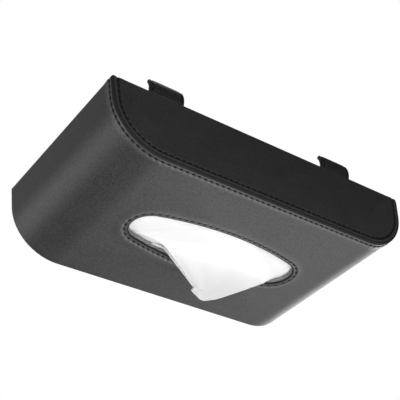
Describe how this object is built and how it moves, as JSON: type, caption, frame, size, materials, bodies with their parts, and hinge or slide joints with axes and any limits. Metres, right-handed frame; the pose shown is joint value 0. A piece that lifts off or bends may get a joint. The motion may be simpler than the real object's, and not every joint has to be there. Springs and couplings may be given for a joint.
{
  "type": "car tissue holder",
  "caption": "Flat leather-covered tissue box that hangs under a sun visor on two sprung clips, with an oval slot in its front and a hinged back panel held shut by magnets.",
  "frame": {"origin": "centre of the back panel's outer face, which lies against the visor", "axes": "+X along the case, +Y from the clips' mouths towards the hinge side, +Z out of the back towards the visor"},
  "size_m": [0.235, 0.13, 0.1081],
  "materials": {
    "cover_leather": "black coated leather, fine grain, satin",
    "side_leather": "black coated leather, fine grain, matte",
    "clip_leather": "smooth black coated leather",
    "rim_leather": "black coated leather binding",
    "stiff_board": "grey-brown pressed board",
    "lining_cloth": "black felt lining",
    "spring_steel": "blued spring strip",
    "magnet": "nickel plated",
    "keeper_steel": "zinc plated",
    "rivet_steel": "zinc plated",
    "tissue_paper": "soft white paper"
  },
  "bodies": {
    "back_panel": {"back_panel_cover": "side_leather", "back_panel_board": "stiff_board", "back_panel_lining": "lining_cloth", "panel_magnets": "magnet", "left_clip_foot_spring": "spring_steel", "right_clip_foot_spring": "spring_steel", "left_clip_foot_sleeve": "clip_leather", "right_clip_foot_sleeve": "clip_leather", "clip_rivets": "rivet_steel"},
    "case": {"outer_cover": "cover_leather", "near_side_panel": "side_leather", "far_side_panel": "side_leather", "front_board": "stiff_board", "near_side_board": "stiff_board", "far_side_board": "stiff_board", "front_lining": "lining_cloth", "near_side_lining": "lining_cloth", "far_side_lining": "lining_cloth", "slot_facing": "cover_leather", "rim_binding": "rim_leather", "hinge_strip": "rim_leather", "seat_frame": "stiff_board", "keeper_plates": "keeper_steel", "tissue_stack": "tissue_paper", "drawn_tissue": "tissue_paper"},
    "left_clip_arm": {"left_clip_arm_spring": "spring_steel", "left_clip_arm_sleeve": "clip_leather"},
    "right_clip_arm": {"right_clip_arm_spring": "spring_steel", "right_clip_arm_sleeve": "clip_leather"}
  },
  "joints": [
    {"name": "case_swing", "type": "hinge", "parent": "back_panel", "child": "case", "pos_m": [0, 0.0605, 0], "axis": [1, 0, 0], "range_deg": [0, 95]},
    {"name": "left_clip_flex", "type": "hinge", "parent": "back_panel", "child": "left_clip_arm", "pos_m": [-0.071, 0.0309, 0.01], "axis": [-1, 0, 0], "range_deg": [0, 12], "stiffness_Nm_per_rad": 2},
    {"name": "right_clip_flex", "type": "hinge", "parent": "back_panel", "child": "right_clip_arm", "pos_m": [0.071, 0.0309, 0.01], "axis": [-1, 0, 0], "range_deg": [0, 12], "stiffness_Nm_per_rad": 2}
  ]
}
